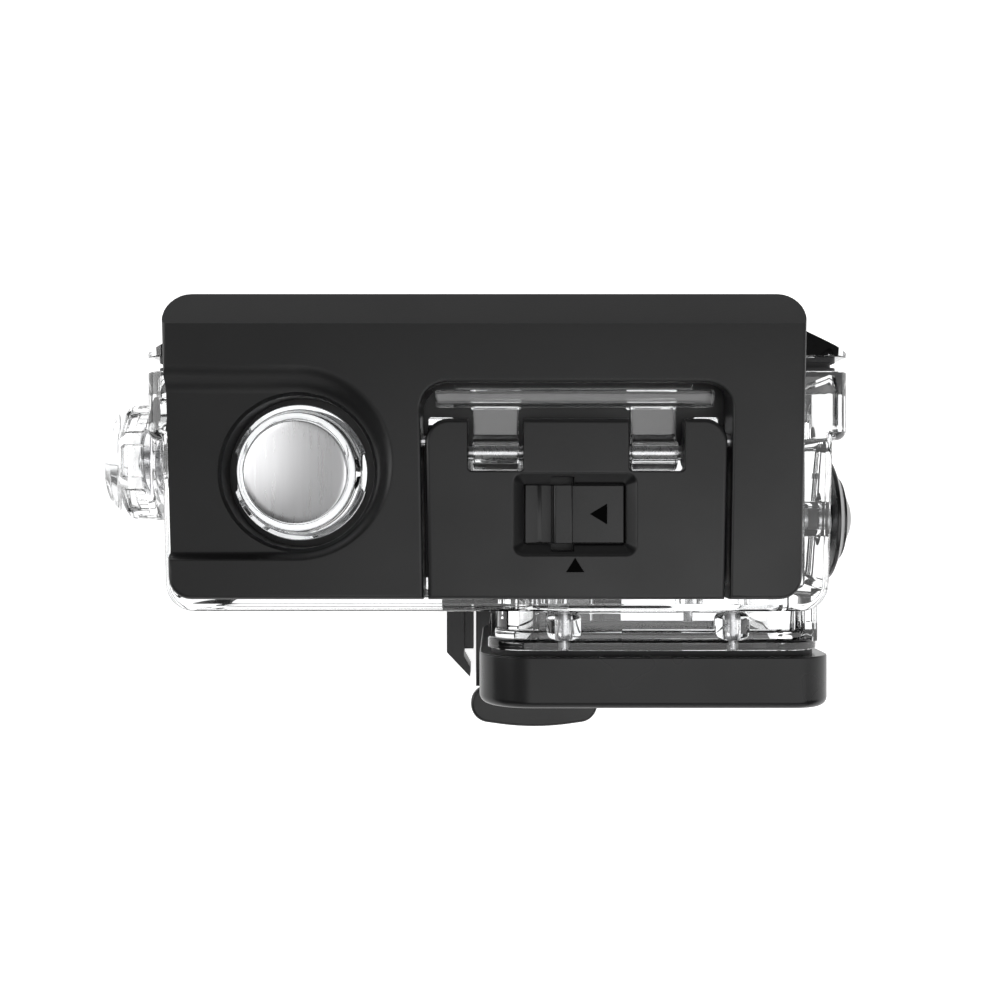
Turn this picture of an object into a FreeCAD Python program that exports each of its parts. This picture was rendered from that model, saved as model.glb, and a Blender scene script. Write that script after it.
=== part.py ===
import FreeCAD, Part
import math
import os

from FreeCAD import Vector as V

# Waterproof housing of an action camera, with its quick-release buckle.
# Millimetres. X runs across the lens side, Y from the lens to the back door, Z up.
# The design frame has Z = 0 on the underside of the clear body, X = 0 at the middle
# of the body and Y = 0 on the axis of the thumb screw. Each piece is saved with the
# origin moved to the middle of the buckle's flat foot.

# --- clear body -----------------------------------------------------------------
body_left, body_right = -37.9, 37.3
body_front = -12.5
body_draft = 0.5
shell_top = 47.5
wall = 2.6
bay_front, bay_floor, bay_roof = -10.1, 2.5, shell_top - wall
flange_front, flange_rear = 6.7, 14.4
flange_step = 1.9
flange_low = -2.0

# --- back door ------------------------------------------------------------------
seal_depth = 1.6
door_front = flange_rear + seal_depth
door_rear = 21.2
door_plug = 2.8
plug_gap = 0.6
door_corner = 12.0
latch_land = 46.6
hinge_y, hinge_z = 15.2, -4.4
hinge_r, hinge_pin_r = 2.4, 1.0

# --- black top cover and its latch ------------------------------------------------
cover_top = 54.0
cover_skin = 1.8
cover_left_rear, cover_right_rear = -36.2, 32.8
cover_left_front, cover_right_front = -35.3, 32.2
cover_front, cover_crease, cover_rear = -10.6, 18.8, 22.4
cover_rear_drop = 3.0
latch_x = 8.15
latch_half_rear, latch_half_front = 16.2, 15.8
latch_gap = 0.5
latch_back = 12.6
flap_back = 8.7
flap_skin = 2.2
arm_offsets = (-8.6, 8.6)
arm_width = 5.0
slot_width = 5.9
slot_front = 3.1
tray_skin, arm_window_front = 0.5, 4.4
pivot_y, pivot_z, pivot_r = 6.4, 52.1, 0.7
link_y, link_z, link_r = 5.2, 50.2, 0.75

# --- slide lock in the latch --------------------------------------------------------
lock_left, lock_right = 2.65, 13.3
lock_front, lock_back = -4.65, 1.65
lock_travel = 2.5

# --- push buttons -------------------------------------------------------------------
stem_r = 2.0
bore_r = 2.06
spring_r, spring_wire = 3.8, 0.55
shutter_x, shutter_y = -21.8, 3.0
shutter_hole_r, shutter_ledge_r, ledge_skin = 8.25, 7.0, 0.2
side_z = 37.0
left_y, right_y = 4.5, -2.2
knob_room_r = 7.5
right_dome_r, right_dome_mid = 10.88, -6.513

# --- lens port ------------------------------------------------------------------------
port_x, port_z = 17.7, 26.0
bezel_half = 20.1
bezel_front, bezel_rear = -23.6, -17.7
port_flange_rear = -15.8
port_face = -17.1
tunnel_half_x, tunnel_half_z = 15.9, 14.6
window_half = 16.6
window_front, window_rear = -22.0, -19.4
aperture_half = 14.4
screw_mid_x, screw_offset_x, screw_offset_z = 16.9, 9.6, 17.8
bezel_screw_r = 0.65
shield_r, shield_wall = 14.2, 1.0
shield_rear, shield_lug_rear = -17.0, -15.6

# --- quick-release foot ----------------------------------------------------------------
mount_x = 5.4
mount_z = -10.5
finger, finger_gap = 3.0, 3.2
finger_r = 7.5
bolt_r, bolt_hole_r = 2.5, 2.58
foot_z = -25.5
foot_half = 14.1
foot_front, foot_rear = -28.9, 12.0
foot_mid_y = (foot_front + foot_rear) / 2
arm_inner = 11.3
tongue_half = 9.4
tongue_root = -9.5
tab_front, tab_top = -36.0, -11.4

ORIGIN = V(mount_x, foot_mid_y, foot_z)

PLACE = {
    "XY": lambda u, v, level: V(u, v, level),
    "XZ": lambda u, v, level: V(u, level, v),
    "YZ": lambda u, v, level: V(level, u, v),
}
NORMAL = {"XY": V(0, 0, 1), "XZ": V(0, 1, 0), "YZ": V(1, 0, 0)}


# --- helpers ---------------------------------------------------------------------------
def save(name, *solids):
    """Write one node as a STEP file, moved to the part's origin."""
    moved = [solid.translated(-ORIGIN) for solid in solids]
    shape = moved[0] if len(moved) == 1 else Part.makeCompound(moved)
    assert shape.isValid(), name
    shape.exportStep("parts/" + name + ".step")


def outline(plane, points, radius, level):
    """Closed wire through the points of a plane, with its corners rounded."""
    corners = [PLACE[plane](u, v, level) for u, v in points]
    count = len(corners)
    radii = radius if isinstance(radius, (list, tuple)) else [radius] * count
    bends = []
    for i, corner in enumerate(corners):
        if radii[i] == 0:
            bends.append((corner, None, corner))
            continue
        back = (corners[i - 1] - corner).normalize()
        ahead = (corners[(i + 1) % count] - corner).normalize()
        half = back.getAngle(ahead) / 2
        reach = radii[i] / math.tan(half)
        inward = (back + ahead).normalize() * (radii[i] / math.sin(half) - radii[i])
        bends.append((corner + back * reach, corner + inward, corner + ahead * reach))
    edges = []
    for i, (start, middle, end) in enumerate(bends):
        if middle is not None:
            edges.append(Part.Arc(start, middle, end).toShape())
        following = bends[(i + 1) % count][0]
        if end.distanceToPoint(following) > 1e-6:
            edges.append(Part.LineSegment(end, following).toShape())
    return Part.Wire(edges)


def prism(plane, points, start, end, radius=0):
    """Solid with a rounded outline, from one level of its plane to another."""
    face = Part.Face(outline(plane, points, radius, start))
    return face.extrude(NORMAL[plane] * (end - start))


def rectangle(u0, u1, v0, v1):
    return [(u0, v0), (u1, v0), (u1, v1), (u0, v1)]


def square(u, v, half):
    return rectangle(u - half, u + half, v - half, v + half)


def block(x0, x1, y0, y1, z0, z1):
    return Part.makeBox(x1 - x0, y1 - y0, z1 - z0, V(x0, y0, z0))


def rod(start, end, radius):
    """Cylinder between two points."""
    return Part.makeCylinder(radius, (end - start).Length, start, end - start)


def turned(profile):
    """Solid turned about the local Z axis from (radius, height) points."""
    points = [V(r, 0, h) for r, h in profile]
    wire = Part.makePolygon(points + points[:1])
    return Part.Face(wire).revolve(V(0, 0, 0), V(0, 0, 1), 360)


def ring(outer, inner, low, high):
    return turned([(inner, low), (outer, low), (outer, high), (inner, high)])


def round_edges(shape, size, pick):
    return shape.makeFillet(size, [edge for edge in shape.Edges if pick(edge)])


def flat_at(edge, axis, level):
    """True for an edge that lies in the plane where this coordinate has this value."""
    low = getattr(edge.BoundBox, axis + "Min")
    high = getattr(edge.BoundBox, axis + "Max")
    return abs(low - level) < 1e-4 and abs(high - level) < 1e-4


def body_outline():
    """Plan outline of the clear body: its side walls draw in towards the lens."""
    return [
        (body_left + body_draft, body_front),
        (body_right - body_draft, body_front),
        (body_right, flange_front),
        (body_right, flange_rear),
        (body_left, flange_rear),
        (body_left, flange_front),
    ]


def flange_rectangle(inset=0.0):
    return rectangle(
        body_left - flange_step + inset,
        body_right + flange_step - inset,
        flange_low + inset,
        shell_top - inset,
    )


# --- push buttons, drawn along local Z from the outer face of the wall --------------------
def place_button(shape, side):
    """Turn a button piece from its local axis to its place in the housing."""
    places = {
        "shutter": (V(shutter_x, shutter_y, shell_top), V(0, 0, 1)),
        "left": (V(body_left, left_y, side_z), V(-1, 0, 0)),
        "right": (V(body_right, right_y, side_z), V(1, 0, 0)),
    }
    base, outward = places[side]
    turn = FreeCAD.Rotation(V(0, 0, 1), outward)
    return shape.transformed(FreeCAD.Placement(base, turn).toMatrix())


STEM_INNER = -6.6
INNER_BOSS = -3.8
SEAL_LOW, SEAL_HIGH, SEAL_ROOT = -1.65, -0.35, 1.3
CLIP_LOW, CLIP_HIGH, CLIP_ROOT = -4.6, -3.9, 1.4
SPRING_SEAT = 0.05


def button_boss(height):
    """Boss that guides a button stem through the wall, outside and inside."""
    outer = ring(3.1, 0.0, -wall / 2, height)
    inner = ring(4.0, 0.0, INNER_BOSS, -wall / 2)
    return outer.fuse(inner)


def button_bore(height):
    return Part.makeCylinder(bore_r, height - INNER_BOSS + 2, V(0, 0, INNER_BOSS - 1))


def button_stem(top):
    """Steel stem with a rounded inner end, a clip groove and a seal groove."""
    return turned([
        (0, STEM_INNER),
        (1.4, STEM_INNER),
        (stem_r, STEM_INNER + 0.6),
        (stem_r, CLIP_LOW),
        (CLIP_ROOT, CLIP_LOW),
        (CLIP_ROOT, CLIP_HIGH),
        (stem_r, CLIP_HIGH),
        (stem_r, SEAL_LOW),
        (SEAL_ROOT, SEAL_LOW),
        (SEAL_ROOT, SEAL_HIGH),
        (stem_r, SEAL_HIGH),
        (stem_r, top),
        (0, top),
    ])


def button_seal():
    """O-ring as it sits squeezed between the groove and the bore."""
    seal = ring(bore_r - 0.02, SEAL_ROOT, SEAL_LOW + 0.05, SEAL_HIGH - 0.05)
    return seal.makeFillet(0.25, seal.Edges[0:1] + seal.Edges[2:3])


def button_clip():
    """E-shaped retaining clip on the inner end of the stem."""
    clip = ring(3.4, CLIP_ROOT, CLIP_LOW, CLIP_HIGH)
    mouth = block(0, 4, -1.1, 1.1, CLIP_LOW - 1, CLIP_HIGH + 1)
    lobes = [
        rod(V(2.5 * math.cos(a), 2.5 * math.sin(a), CLIP_LOW - 1),
            V(2.5 * math.cos(a), 2.5 * math.sin(a), CLIP_HIGH + 1), 0.6)
        for a in (math.radians(120), math.radians(240))
    ]
    return clip.cut([mouth] + lobes)


def button_spring(top):
    """Compression spring between the wall and the underside of the cap."""
    height = top - SPRING_SEAT - spring_wire - 0.1
    turns = 3.5
    helix = Part.makeHelix(height / turns, height, spring_r)
    corners = []
    for k in range(8):
        angle = math.radians(45 * k + 22.5)
        corners.append(V(spring_r + spring_wire / 2 * math.cos(angle), 0,
                         spring_wire / 2 * math.sin(angle)))
    section = Part.makePolygon(corners + corners[:1])
    coil = Part.Wire(helix).makePipeShell([section], True, True)
    return coil.translated(V(0, 0, SPRING_SEAT + spring_wire / 2 + 0.05))


def shutter_cap():
    """Clear plunger of the shutter button, with a seat for the metal disc."""
    cap = turned([
        (0, 4.7), (4.9, 4.7), (4.9, 1.9), (7.4, 1.9), (7.4, 3.1),
        (6.7, 3.7), (6.3, 5.8), (5.6, 5.8), (5.6, 5.2), (0, 5.2),
    ])
    notches = [block(x - 0.9, x + 0.9, -2.1, 2.1, 1.0, 5.0) for x in (-7.5, 7.5)]
    return cap.cut(notches)


def shutter_disc():
    """Metal face of the shutter button, slightly dished."""
    disc = turned([(0, 5.2), (5.5, 5.2), (5.5, 6.3), (5.2, 6.5), (0, 6.5)])
    dish = Part.makeSphere(40.0, V(0, 0, 46.15))
    return disc.cut(dish)


def left_cap():
    """Clear domed knob with windows round its side."""
    knob = turned([
        (0, 4.7), (5.2, 4.7), (5.2, 1.9), (7.0, 1.9), (7.0, 4.6), (6.7, 5.8),
        (6.1, 7.0), (5.2, 7.9), (4.0, 8.5), (2.4, 8.8), (0, 8.9),
    ])
    windows = []
    for k in range(8):
        window = block(6.1, 8.0, -1.9, 1.9, 2.9, 5.6)
        windows.append(window.rotated(V(0, 0, 0), V(0, 0, 1), 45 * k))
    return knob.cut(windows)


def right_cap():
    """Low dark dome with a small flat end."""
    blank = turned([(0, 3.0), (4.9, 3.0), (4.9, 1.2), (7.25, 1.2), (7.25, 4.2), (0, 4.2)])
    dome = Part.makeSphere(right_dome_r, V(0, 0, right_dome_mid))
    return blank.common(dome)


BUTTONS = {
    "shutter": {"boss": 2.5, "under": 4.7, "cap": shutter_cap},
    "left": {"boss": 2.5, "under": 4.7, "cap": left_cap},
    "right": {"boss": 1.4, "under": 3.0, "cap": right_cap},
}


def save_buttons():
    names = {"shutter": "shutter", "left": "left_button", "right": "right_button"}
    for side, button in BUTTONS.items():
        stem_top = button["under"] + 0.3
        socket = Part.makeCylinder(stem_r, 0.3, V(0, 0, button["under"]))
        pieces = {
            "cap": button["cap"]().cut(socket),
            "stem": button_stem(stem_top),
            "spring": button_spring(button["under"]),
            "seal": button_seal(),
            "clip": button_clip(),
        }
        if side == "shutter":
            pieces["disc"] = shutter_disc()
        for piece, shape in pieces.items():
            save(names[side] + "_" + piece, place_button(shape, side))


# --- clear front shell ------------------------------------------------------------------
def hinge_knuckle(x0, x1, web_front, web_rear):
    """Barrel on the hinge axis, with a web up to the edge that carries it."""
    barrel = rod(V(x0, hinge_y, hinge_z), V(x1, hinge_y, hinge_z), hinge_r)
    web = block(x0, x1, web_front, web_rear, hinge_z, flange_low + 0.6)
    return barrel.fuse(web)


SHELL_KNUCKLES = ((-26, -20), (-4, 4), (20, 26))
DOOR_KNUCKLES = ((-19.7, -4.3), (4.3, 19.7))


def port_bosses(radius, start, end):
    """Four rods along Y on the lens screws' axes."""
    rods = []
    for side in (-1, 1):
        for level in (-1, 1):
            x = screw_mid_x + side * screw_offset_x
            z = port_z + level * screw_offset_z
            rods.append(rod(V(x, start, z), V(x, end, z), radius))
    return rods


def shell_fingers():
    """Two mount fingers under the body."""
    fingers = []
    for side in (-1, 1):
        inner = mount_x + side * finger_gap / 2
        outer = inner + side * finger
        x0, x1 = min(inner, outer), max(inner, outer)
        web = prism("YZ", [(-9.5, 0.5), (-finger_r, mount_z), (finger_r, mount_z), (9.5, 0.5)],
                    x0, x1)
        tip = rod(V(x0, 0, mount_z), V(x1, 0, mount_z), finger_r)
        fingers.append(web.fuse(tip))
    return fingers


def front_shell():
    plan = prism("XY", body_outline(), 0, shell_top, [3.2, 3.2, 0, 0, 0, 0])
    face = rectangle(body_left, body_right, 0, shell_top)
    body = plan.common(prism("XZ", face, body_front - 1, flange_rear + 1, [5, 5, 1.5, 1.5]))
    flange = prism("XZ", flange_rectangle(), flange_front, flange_rear, [6, 6, 2.5, 2.5])
    rim = [edge for edge in flange.Edges if flat_at(edge, "Y", flange_front)]
    flange = flange.makeChamfer(1.2, rim)
    port_plate = prism("XZ", square(port_x, port_z, 19.1), port_face, port_flange_rear, 4.5)
    tube = prism(
        "XZ",
        rectangle(port_x - 18.0, port_x + 18.0, port_z - 16.6, port_z + 16.6),
        port_flange_rear - 0.5, body_front + 1, 4.0)
    port_cheek = prism(
        "XZ",
        rectangle(port_x + tunnel_half_x + 0.5, body_right - body_draft - 0.15,
                  port_z - 18.2, port_z + 17.4),
        port_flange_rear - 0.5, body_front + 3.7, 1.0)
    solid = body.fuse([flange, port_plate, tube, port_cheek])
    solid = solid.fuse(port_bosses(2.0, port_flange_rear - 0.5, body_front + 0.8))
    solid = solid.fuse([place_button(button_boss(b["boss"]), s) for s, b in BUTTONS.items()])
    solid = solid.fuse(shell_fingers())
    solid = solid.fuse([hinge_knuckle(x0, x1, hinge_y - hinge_r, flange_rear)
                        for x0, x1 in SHELL_KNUCKLES])
    catch = block(7.0, 11.5, -9.05, -8.5, shell_top - 0.5, 50.9)
    nose = block(7.0, 11.5, -8.6, -8.15, 50.0, 50.9)
    solid = solid.fuse([catch, nose])

    bay = prism(
        "XZ", rectangle(body_left + wall, body_right - wall, bay_floor, bay_roof),
        bay_front, flange_rear + 1, 2.5)
    tunnel = prism(
        "XZ",
        rectangle(port_x - tunnel_half_x, port_x + tunnel_half_x,
                  port_z - tunnel_half_z, port_z + tunnel_half_z),
        port_face - 1, bay_front + 1, 3.0)
    inner_bosses = [place_button(ring(4.0, 0.0, INNER_BOSS, -wall), s) for s in BUTTONS]
    knob_room = place_button(ring(knob_room_r, 3.1, 0, 6), "left")
    solid = solid.cut([bay.cut(inner_bosses), tunnel, knob_room])
    solid = solid.cut([place_button(button_bore(b["boss"]), s) for s, b in BUTTONS.items()])
    solid = solid.cut(port_bosses(bezel_screw_r, port_face - 1, body_front + 0.5))
    pin_hole = rod(V(-30, hinge_y, hinge_z), V(30, hinge_y, hinge_z), hinge_pin_r)
    bolt_hole = rod(V(mount_x - 8, 0, mount_z), V(mount_x + 8, 0, mount_z), bolt_hole_r)
    return solid.cut([pin_hole, bolt_hole]).removeSplitter()


# --- back door ----------------------------------------------------------------------------
def back_door():
    plate = prism("XZ", flange_rectangle(), door_front, door_rear, [6, 6, 2.5, 2.5])
    back = [edge for edge in plate.Edges if flat_at(edge, "Y", door_rear)]
    plate = plate.makeChamfer(1.8, back)
    plug = prism(
        "XZ",
        rectangle(body_left + wall + plug_gap, body_right - wall - plug_gap,
                  bay_floor + plug_gap, bay_roof - plug_gap),
        flange_rear - door_plug, door_front + 0.5, 2.4)
    pan = prism(
        "XZ",
        rectangle(body_left + 2 * wall + plug_gap, body_right - 2 * wall - plug_gap,
                  bay_floor + wall + plug_gap, bay_roof - wall - plug_gap),
        flange_rear - door_plug - 1, door_rear - 2.4, 2.0)
    land = block(latch_x - 14.2, latch_x + 14.2, door_front - 1, door_rear + 1,
                 latch_land, shell_top + 1)
    groove = block(latch_x - 14.2, latch_x + 14.2, 17.6, 19.9, latch_land - 1.3, shell_top)
    barrels = [hinge_knuckle(x0, x1, door_front, hinge_y + hinge_r) for x0, x1 in DOOR_KNUCKLES]
    corners = []
    for edge, side in ((body_left - flange_step, -1), (body_right + flange_step, 1)):
        corners.append(prism(
            "XY",
            [(edge + side * 1.0, door_front), (edge + side * 1.0, door_rear + 1),
             (edge - side * door_corner, door_rear + 1), (edge, door_front + 0.4)],
            flange_low - 1, shell_top + 1))
    door = plate.fuse([plug] + barrels).cut([pan, land, groove] + corners)
    pin_hole = rod(V(-30, hinge_y, hinge_z), V(30, hinge_y, hinge_z), hinge_pin_r + 0.05)
    return door.cut(pin_hole).removeSplitter()


def door_gasket():
    """Face seal round the plug of the door, squeezed between door and flange."""
    outer = prism("XZ", flange_rectangle(1.2), flange_rear, door_front, [5, 5, 1.6, 1.6])
    inner = prism(
        "XZ",
        rectangle(body_left + wall + plug_gap, body_right - wall - plug_gap,
                  bay_floor + plug_gap, bay_roof - plug_gap),
        flange_rear - 1, door_front + 1, 2.4)
    groove = prism("XZ", flange_rectangle(0.7), flange_rear + 0.5, flange_rear + 1.1,
                   [5.5, 5.5, 2.1, 2.1])
    core = prism("XZ", flange_rectangle(1.7), flange_rear, door_front, [4.5, 4.5, 1.2, 1.2])
    return outer.cut([inner, groove.cut(core)]).removeSplitter()


def door_hinge_pin():
    pin = rod(V(-26, hinge_y, hinge_z), V(26, hinge_y, hinge_z), hinge_pin_r)
    return pin.makeChamfer(0.2, [pin.Edges[0], pin.Edges[2]])


# --- top cover --------------------------------------------------------------------------------
def cover_outline():
    return [
        (cover_left_front, cover_front),
        (cover_right_front, cover_front),
        (cover_right_rear, cover_rear),
        (cover_left_rear, cover_rear),
    ]


def latch_outline(gap, back):
    """Plan outline of the latch flap, or of its opening when the gap is added."""
    half_rear = latch_half_rear + gap
    half_front = latch_half_front + gap
    return [
        (latch_x - half_front, cover_front),
        (latch_x + half_front, cover_front),
        (latch_x + half_rear, back),
        (latch_x - half_rear, back),
    ]


def shutter_recess():
    """Shallow stadium that opens at the cover's left side, with sloping walls."""
    def stadium(x, y, r, level):
        left = body_left - 5
        start, end = V(left, y - r, level), V(left, y + r, level)
        low, high = V(x, y - r, level), V(x, y + r, level)
        return Part.Wire([
            Part.LineSegment(start, low).toShape(),
            Part.Arc(low, V(x + r, y, level), high).toShape(),
            Part.LineSegment(high, end).toShape(),
            Part.LineSegment(end, start).toShape(),
        ])
    floor = stadium(shutter_x, 2.95, 8.6, cover_top - 1.5)
    rim = stadium(shutter_x, 4.0, 10.4, cover_top)
    above = stadium(shutter_x, 4.0, 10.4, cover_top + 1)
    return Part.makeLoft([floor, rim], True, True).fuse(Part.makeLoft([rim, above], True, True))


def latch_tray():
    """Thin floor of the latch opening, with windows under the comb and at the corners."""
    reach = latch_half_rear + latch_gap + 0.5
    tray = block(latch_x - reach, latch_x + reach, cover_front + 2.0, flange_rear - 0.4,
                 shell_top, shell_top + tray_skin)
    middle = block(latch_x - 14.6, latch_x + 14.6, cover_front + 1, arm_window_front,
                   shell_top - 1, shell_top + 1)
    windows = []
    for offset in arm_offsets:
        windows.append(block(latch_x + offset - 2.8, latch_x + offset + 2.8, 10.0, 11.2,
                             shell_top - 1, shell_top + 1))
        corner = latch_x + math.copysign(14.7, offset)
        windows.append(block(corner - 1.4, corner + 1.4, 6.4, 9.2, shell_top - 1, shell_top + 1))
    return tray.cut([middle] + windows)


def top_cover():
    solid = prism("XY", cover_outline(), shell_top, cover_top, [2.4, 2.4, 2.6, 2.6])
    slope = prism(
        "YZ",
        [(cover_crease, cover_top), (cover_rear, cover_top - cover_rear_drop),
         (cover_rear + 2, cover_top - cover_rear_drop), (cover_rear + 2, cover_top + 1),
         (cover_crease, cover_top + 1)],
        cover_left_rear - 2, cover_right_rear + 2)
    solid = solid.cut(slope)
    top_edges = [
        edge for edge in solid.Edges
        if flat_at(edge, "Z", cover_top) and edge.BoundBox.YMin < cover_crease - 0.1
    ]
    solid = solid.makeFillet(0.5, top_edges)

    under = cover_top - cover_skin
    inner = [
        prism("XY", rectangle(-34.2, -10.6, cover_front + 1.6, 17.6), shell_top - 1,
              under - 1.4, 1.5),
        prism("XY", rectangle(-9.0 + 1.6, 30.9, cover_front + 1.6, 17.6), shell_top - 1, under, 1.5),
        prism("YZ", [(12.0, shell_top - 1), (20.6, shell_top - 1), (20.6, 50.6), (18.2, under),
                     (12.0, under)], -34.2, 30.9),
    ]
    ribs = [
        block(latch_x - latch_half_rear - latch_gap - 2.2, latch_x - latch_half_rear - latch_gap,
              cover_front, 12.0, shell_top, under + 0.5),
        block(latch_x + latch_half_rear + latch_gap, latch_x + latch_half_rear + latch_gap + 2.2,
              cover_front, 12.0, shell_top, under + 0.5),
    ]
    skirt = rod(V(shutter_x, shutter_y, shell_top), V(shutter_x, shutter_y, under - 0.8),
                shutter_hole_r + 1.2)
    solid = solid.cut(inner).fuse(ribs + [skirt])
    door_room = block(-50, 50, flange_rear - 0.4, 40, shell_top - 1, shell_top + 0.5)
    tray = latch_tray()
    opening = prism("XY", latch_outline(latch_gap, latch_back), shell_top - 1, cover_top + 1,
                    [0, 0, 2.9, 2.9])
    front_slot = block(latch_x - latch_half_front - latch_gap, latch_x + latch_half_front + latch_gap,
                       cover_front - 1, cover_front + 1, shell_top - 1, cover_top + 1)
    hole = rod(V(shutter_x, shutter_y, shell_top + ledge_skin),
               V(shutter_x, shutter_y, cover_top + 1), shutter_hole_r)
    hole = hole.fuse(rod(V(shutter_x, shutter_y, shell_top - 1),
                         V(shutter_x, shutter_y, shell_top + 1), shutter_ledge_r))
    pivot = rod(V(latch_x - 18.9, pivot_y, pivot_z), V(latch_x + 18.9, pivot_y, pivot_z), pivot_r)
    solid = solid.cut([door_room, opening, front_slot, shutter_recess(), hole, pivot])
    return solid.fuse(tray).removeSplitter()


# --- latch: lever, hook link and pins -----------------------------------------------------------
def latch_lever():
    flap = prism("XY", latch_outline(0, flap_back), cover_top - flap_skin, cover_top,
                 [0, 0, 2.5, 2.5])
    flap = round_edges(flap, 0.9, lambda edge: flat_at(edge, "Z", cover_top)
                       and edge.BoundBox.YMin > flap_back - 0.01)
    front = block(latch_x - latch_half_front, latch_x + latch_half_front, cover_front,
                  cover_front + 1.4, shell_top + 0.7, cover_top - flap_skin + 0.2)
    boss = block(-1.6, 15.2, lock_front - 1.6, lock_back + 1.2, cover_top - 3.9,
                 cover_top - flap_skin + 0.2)
    ears = []
    for offset in arm_offsets:
        arm_x = latch_x + offset
        for side in (-1, 1):
            inner = arm_x + side * (slot_width / 2 + 0.15)
            outer = inner + side * 1.6
            x0, x1 = min(inner, outer), max(inner, outer)
            eye = rod(V(x0, link_y, link_z), V(x1, link_y, link_z), 1.6)
            web = block(x0, x1, link_y - 1.6, link_y + 1.6, link_z, cover_top - 1)
            ears.append(eye.fuse(web))
    trunnions = []
    for side in (-1, 1):
        inner = latch_x + side * (arm_offsets[1] + slot_width / 2 + 0.15)
        outer = latch_x + side * (latch_half_rear - 0.3)
        x0, x1 = min(inner, outer), max(inner, outer)
        trunnions.append(rod(V(x0, pivot_y, pivot_z), V(x1, pivot_y, pivot_z), 1.7))
    lever = flap.fuse([front, boss] + ears + trunnions)

    slots = []
    for offset in arm_offsets:
        arm_x = latch_x + offset
        slots.append(block(arm_x - slot_width / 2, arm_x + slot_width / 2, slot_front,
                           flap_back + 1, shell_top, cover_top + 1))
    deep = cover_top - 1.2
    rim = outline("XY", rectangle(lock_left - 1.1, lock_right + 1.1, lock_front - 1.1,
                                  lock_back + 1.1), 0.9, cover_top)
    well = outline("XY", rectangle(lock_left - 0.1, lock_right + 0.1, lock_front - 0.1,
                                   lock_back + 0.1), 0.3, deep)
    pocket = Part.makeLoft([well, rim], True, True)
    run = block(lock_left - lock_travel - 0.4, lock_right + 0.1, lock_front - 0.1,
                lock_back + 0.1, cover_top - 2.8, deep)
    stem_slot = block(lock_left + 1.3, lock_left + 7.1, -2.65, -0.35, cover_top - 5, cover_top - 2)
    link_hole = rod(V(-12, link_y, link_z), V(28, link_y, link_z), link_r)
    pivot_hole = rod(V(-12, pivot_y, pivot_z), V(28, pivot_y, pivot_z), pivot_r + 0.05)
    mark = prism("XY", [(7.0, -7.7), (9.0, -7.7), (8.0, -6.1)], cover_top - 0.15, cover_top + 1)
    return lever.cut(slots + [pocket, run, stem_slot, link_hole, pivot_hole, mark]).removeSplitter()


def lever_pivot_pins():
    pins = []
    for side in (-1, 1):
        start = V(latch_x + side * 12.0, pivot_y, pivot_z)
        end = V(latch_x + side * 18.9, pivot_y, pivot_z)
        pins.append(rod(start, end, pivot_r))
    return pins


def hook_pin():
    reach = arm_offsets[1] + slot_width / 2 + 0.15 + 1.6
    return rod(V(latch_x - reach, link_y, link_z), V(latch_x + reach, link_y, link_z), link_r)


def hook_link():
    """Clear comb: two arms on the hook pin, a cross bar and the hook for the door."""
    parts = []
    for offset in arm_offsets:
        x0 = latch_x + offset - arm_width / 2
        x1 = x0 + arm_width
        barrel = rod(V(x0, link_y, link_z), V(x1, link_y, link_z), 2.0)
        arm = block(x0, x1, link_y, 10.6, 48.5, 50.5)
        parts.append(barrel.fuse(arm))
    bar = prism("YZ", rectangle(10.2, 12.0, 48.2, 51.4), latch_x - 15.2, latch_x + 15.2, 0.5)
    plate = prism("YZ", rectangle(11.0, 19.6, 48.2, 49.8), latch_x - 13.2, latch_x + 13.2, 0.4)
    nose = prism("YZ", rectangle(17.9, 19.6, latch_land + 0.35, 49.0),
                 latch_x - 13.2, latch_x + 13.2, 0.3)
    link = parts[0].fuse([parts[1], bar, plate, nose])
    pin_hole = rod(V(-12, link_y, link_z), V(28, link_y, link_z), link_r + 0.05)
    return link.cut(pin_hole).removeSplitter()


def lock_slider():
    """Thumb slide of the lock: low left part, ridge and flat right part."""
    floor = cover_top - 2.7
    ridge = lock_left + 2.9
    plate = block(lock_left, lock_right, lock_front, lock_back, floor, cover_top - 1.6)
    right = block(ridge, lock_right, lock_front, lock_back, floor, cover_top - 1.0)
    grip = prism("XZ", [(ridge, cover_top - 1.7), (ridge + 2.3, cover_top - 1.7),
                        (ridge + 2.1, cover_top - 0.25), (ridge + 0.2, cover_top - 0.25)],
                 lock_front, lock_back, 0.15)
    stem = block(lock_left + 4.0, lock_left + 6.9, -2.5, -0.5, cover_top - 4.6, floor + 0.2)
    mark = prism("XY", [(9.6, -1.5), (11.5, -2.65), (11.5, -0.35)],
                 cover_top - 1.15, cover_top)
    return plate.fuse([right, grip, stem]).cut(mark).removeSplitter()


def lock_tongue():
    """Plate clipped on the slider's stem, which reaches for the catch on the body."""
    plate = prism("XY", rectangle(5.4, 11.6, -7.6, 0.4), cover_top - 5.2, cover_top - 4.0, 0.6)
    socket = block(lock_left + 4.0, lock_left + 6.9, -2.5, -0.5, cover_top - 4.6, cover_top - 3)
    return plate.cut(socket)


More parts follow.
